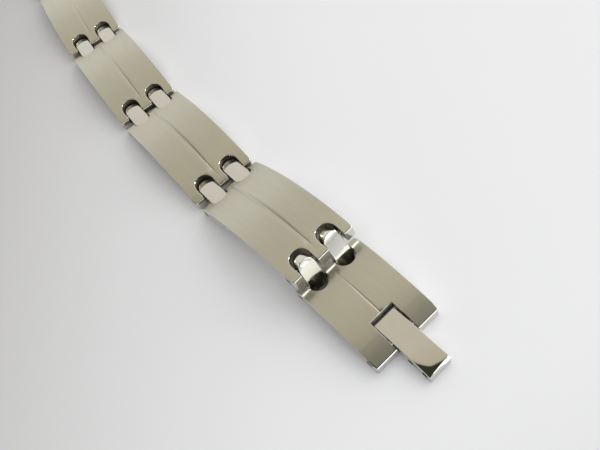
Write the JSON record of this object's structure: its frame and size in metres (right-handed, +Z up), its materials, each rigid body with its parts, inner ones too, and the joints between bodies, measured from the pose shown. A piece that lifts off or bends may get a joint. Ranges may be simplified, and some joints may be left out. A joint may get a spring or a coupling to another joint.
{
  "type": "stainless steel link bracelet",
  "caption": "Stainless steel bracelet of arched brushed plates joined by flat polished links, lying open with its clasp tongue out.",
  "frame": {"origin": "middle of the bounding box, at the level of the surface that the bracelet lies on", "axes": "+X along the bracelet towards the clasp tongue, +Z up, out of the plates' show faces"},
  "size_m": [0.2152, 0.0274, 0.0079],
  "materials": {
    "brushed_steel": "satin, brushed along the plate",
    "polished_steel": "mirror polished",
    "pin_steel": "drawn wire, semi-bright"
  },
  "bodies": {
    "bracelet": {"end_plate": "brushed_steel", "plate_6": "brushed_steel", "plate_5": "brushed_steel", "plate_4": "brushed_steel", "plate_3": "brushed_steel", "plate_2": "brushed_steel", "plate_1": "brushed_steel", "clasp_plate": "brushed_steel", "link_7_left": "polished_steel", "link_6_left": "polished_steel", "link_5_left": "polished_steel", "link_4_left": "polished_steel", "link_3_left": "polished_steel", "link_2_left": "polished_steel", "link_1_left": "polished_steel", "link_7_right": "polished_steel", "link_6_right": "polished_steel", "link_5_right": "polished_steel", "link_4_right": "polished_steel", "link_3_right": "polished_steel", "link_2_right": "polished_steel", "link_1_right": "polished_steel", "pin_7_back": "pin_steel", "pin_6_back": "pin_steel", "pin_5_back": "pin_steel", "pin_4_back": "pin_steel", "pin_3_back": "pin_steel", "pin_2_back": "pin_steel", "pin_1_back": "pin_steel", "pin_7_front": "pin_steel", "pin_6_front": "pin_steel", "pin_5_front": "pin_steel", "pin_4_front": "pin_steel", "pin_3_front": "pin_steel", "pin_2_front": "pin_steel", "pin_1_front": "pin_steel", "end_bar": "pin_steel", "tongue_hinge_pin": "pin_steel"},
    "tongue": {"tongue": "polished_steel", "tongue_pin_inner": "pin_steel", "tongue_pin_outer": "pin_steel"}
  },
  "joints": [
    {"name": "tongue_hinge", "type": "hinge", "parent": "bracelet", "child": "tongue", "pos_m": [0.09941, 0.00194, 0.00096], "axis": [0.1253, -0.9921, 0], "range_deg": [-30, 90]}
  ]
}
